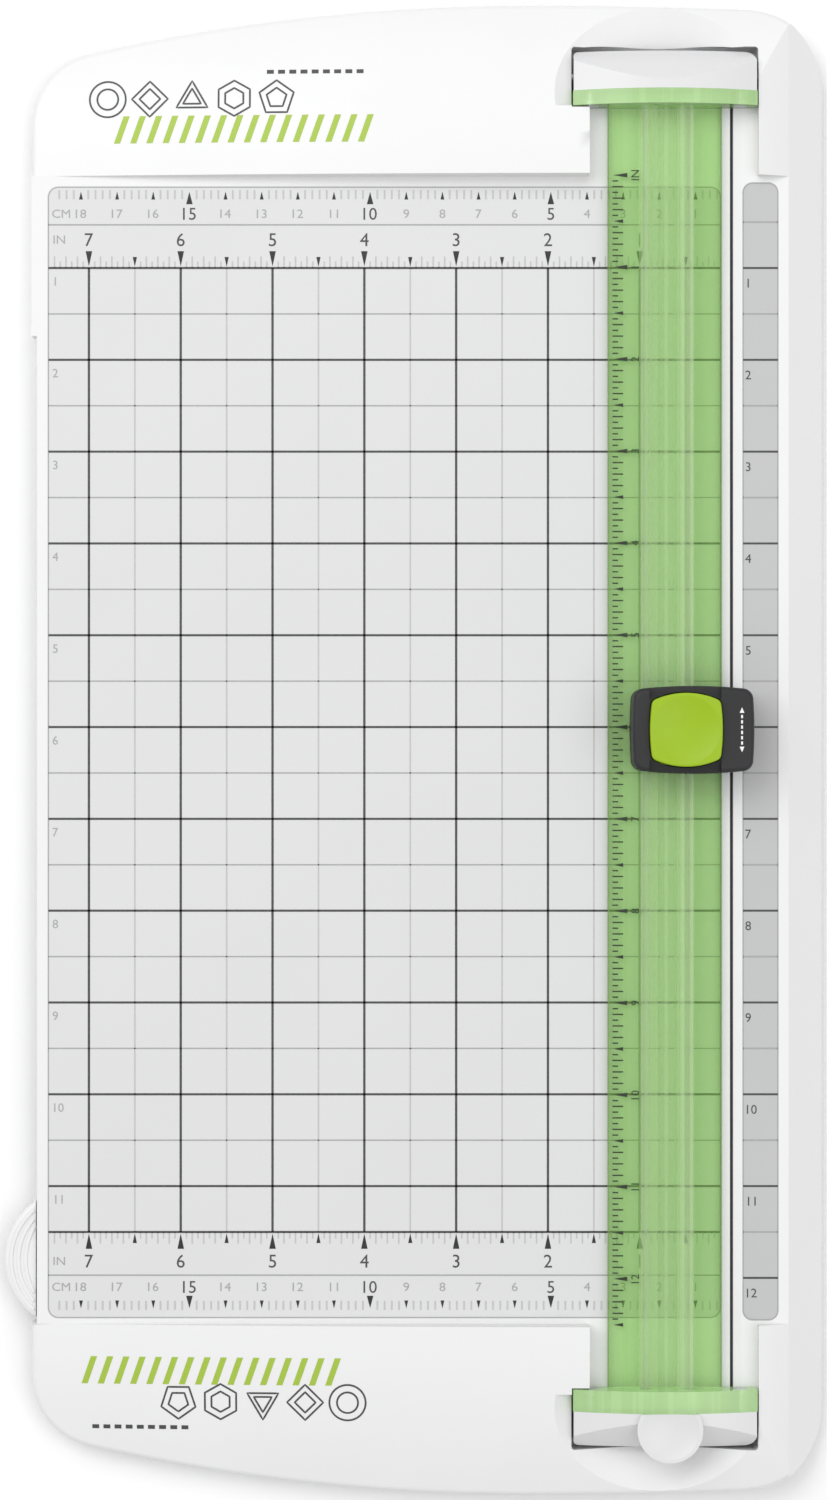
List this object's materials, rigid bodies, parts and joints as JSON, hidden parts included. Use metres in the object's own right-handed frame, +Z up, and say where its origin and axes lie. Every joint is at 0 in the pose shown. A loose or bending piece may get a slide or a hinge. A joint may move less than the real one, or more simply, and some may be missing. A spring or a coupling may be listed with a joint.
{
  "type": "rotary paper trimmer",
  "caption": "Flat desktop paper trimmer with a hinged slotted rail, a sliding carriage with a press-down rotary blade, a printed measuring bed and a swing-out ruler arm.",
  "frame": {"origin": "centre of the base's footprint, on the plane that the feet stand on", "axes": "+Y along the cut line towards the rail's hinge, +X towards the narrow margin right of the cut, +Z up"},
  "size_m": [0.2272, 0.4126, 0.034],
  "materials": {
    "white_plastic": "satin moulded ABS",
    "cap_plastic": "satin moulded ABS",
    "cover_plastic": "matte polypropylene sheet",
    "mat_print": "matte printed film",
    "strip_print": "matte printed film",
    "groove_plastic": "soft white polyethylene",
    "rail_plastic": "clear tinted lime acrylic",
    "carriage_plastic": "fine textured ABS",
    "button_plastic": "satin moulded lime",
    "slider_plastic": "natural nylon",
    "carrier_plastic": "black nylon",
    "blade_steel": "ground steel",
    "screw_steel": "zinc plated",
    "spring_steel": "music wire",
    "foot_rubber": "soft rubber"
  },
  "bodies": {
    "base": {"base_shell": "white_plastic", "bottom_cover": "cover_plastic", "rubber_feet": "foot_rubber", "cover_screws": "screw_steel", "grid_mat": "mat_print", "side_strip": "strip_print", "cutting_strip": "groove_plastic", "hinge_pin": "screw_steel", "pin_keepers": "white_plastic", "pivot_washer": "screw_steel", "pivot_screw": "screw_steel"},
    "rail_arm": {"rail": "rail_plastic", "hinge_cap": "cap_plastic", "latch_cap": "cap_plastic", "cap_screws": "screw_steel"},
    "carriage": {"carriage_body": "carriage_plastic", "carriage_slider": "slider_plastic", "slider_screws": "screw_steel", "button_spring": "spring_steel"},
    "button": {"press_button": "button_plastic", "blade_carrier": "carrier_plastic", "blade_axle": "screw_steel", "blade_washer": "screw_steel"},
    "blade": {"rotary_blade": "blade_steel"},
    "ruler_arm": {"extension_arm": "white_plastic"}
  },
  "joints": [
    {"name": "rail_lift", "type": "hinge", "parent": "base", "child": "rail_arm", "pos_m": [0.065, 0.1865, 0.0105], "axis": [-1, 0, 0], "range_deg": [0, 40]},
    {"name": "carriage_slide", "type": "slide", "parent": "rail_arm", "child": "carriage", "axis": [0, 1, 0], "range_m": [-0.169, 0.1595]},
    {"name": "button_press", "type": "slide", "parent": "carriage", "child": "button", "axis": [0, 0, -1], "range_m": [0, 0.003], "stiffness_N_per_m": 400, "springref_m": -0.002, "deforming": ["button_spring"]},
    {"name": "blade_spin", "type": "hinge", "parent": "button", "child": "blade", "pos_m": [0.084, 0.0055, 0.0222], "axis": [1, 0, 0], "continuous": true},
    {"name": "ruler_swing", "type": "hinge", "parent": "base", "child": "ruler_arm", "pos_m": [-0.0985, 0.103, 0.0064], "axis": [0, 0, -1], "range_deg": [0, 90]}
  ]
}
